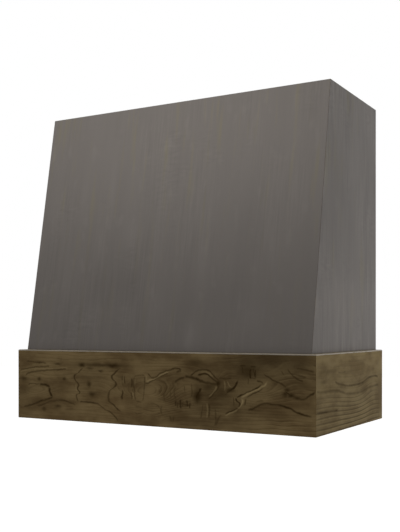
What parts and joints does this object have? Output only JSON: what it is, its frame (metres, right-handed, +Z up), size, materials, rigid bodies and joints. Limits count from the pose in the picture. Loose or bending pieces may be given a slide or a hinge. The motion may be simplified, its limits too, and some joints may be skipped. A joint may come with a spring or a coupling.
{
  "type": "wooden range hood cover",
  "caption": "Wall-hung wooden cover for a kitchen range hood, with a sloped front, a wide band at its foot, a shelf for a vent insert and an open path for the duct.",
  "frame": {"origin": "middle of the wall cleat's back face, on the wall; the cover's bottom edge is 771.1 mm below it", "axes": "+Z up, +Y into the wall, +X to the right of someone who faces the cover; the front faces -Y"},
  "size_m": [0.9524, 0.5143, 0.9144],
  "materials": {
    "grey_stained_maple": "grey wiping stain under a satin clear coat, grain upright",
    "brown_stained_maple": "dark olive-brown stain on figured maple under a satin clear coat, grain level",
    "birch_plywood": "sanded, clear sealed",
    "poplar": "planed, unfinished",
    "beech": "planed, unfinished",
    "zinc_plated_steel": "bright zinc plate"
  },
  "bodies": {
    "root": {"band_front": "brown_stained_maple", "band_front_screw_1": "zinc_plated_steel", "band_front_screw_2": "zinc_plated_steel", "band_front_screw_3": "zinc_plated_steel", "band_front_screw_4": "zinc_plated_steel", "band_front_screw_5": "zinc_plated_steel", "band_front_screw_6": "zinc_plated_steel", "band_left": "brown_stained_maple", "band_left_screw_1": "zinc_plated_steel", "band_left_screw_2": "zinc_plated_steel", "band_left_screw_3": "zinc_plated_steel", "band_left_screw_4": "zinc_plated_steel", "band_right": "brown_stained_maple", "band_right_screw_1": "zinc_plated_steel", "band_right_screw_2": "zinc_plated_steel", "band_right_screw_3": "zinc_plated_steel", "band_right_screw_4": "zinc_plated_steel", "cleat_end_screw_left_1": "zinc_plated_steel", "cleat_end_screw_left_2": "zinc_plated_steel", "cleat_end_screw_right_1": "zinc_plated_steel", "cleat_end_screw_right_2": "zinc_plated_steel", "cleat_screw_1": "zinc_plated_steel", "cleat_screw_2": "zinc_plated_steel", "cleat_screw_3": "zinc_plated_steel", "cleat_screw_4": "zinc_plated_steel", "corner_block_left": "poplar", "corner_block_right": "poplar", "front_panel": "grey_stained_maple", "front_stiffener": "poplar", "hood_cleat": "poplar", "insert_shelf": "birch_plywood", "left_band_biscuit_lower": "beech", "left_band_biscuit_upper": "beech", "left_corner_spline": "beech", "left_side_panel": "grey_stained_maple", "lower_back_rail": "poplar", "lower_front_panel": "birch_plywood", "rail_end_screw_left_1": "zinc_plated_steel", "rail_end_screw_left_2": "zinc_plated_steel", "rail_end_screw_right_1": "zinc_plated_steel", "rail_end_screw_right_2": "zinc_plated_steel", "right_band_biscuit_lower": "beech", "right_band_biscuit_upper": "beech", "right_corner_spline": "beech", "right_side_panel": "grey_stained_maple", "shelf_batten_back": "poplar", "shelf_batten_front": "poplar", "top_glue_block_left": "poplar", "top_glue_block_middle": "poplar", "top_glue_block_right": "poplar", "top_panel": "birch_plywood", "wall_cleat": "poplar"}
  },
  "joints": []
}
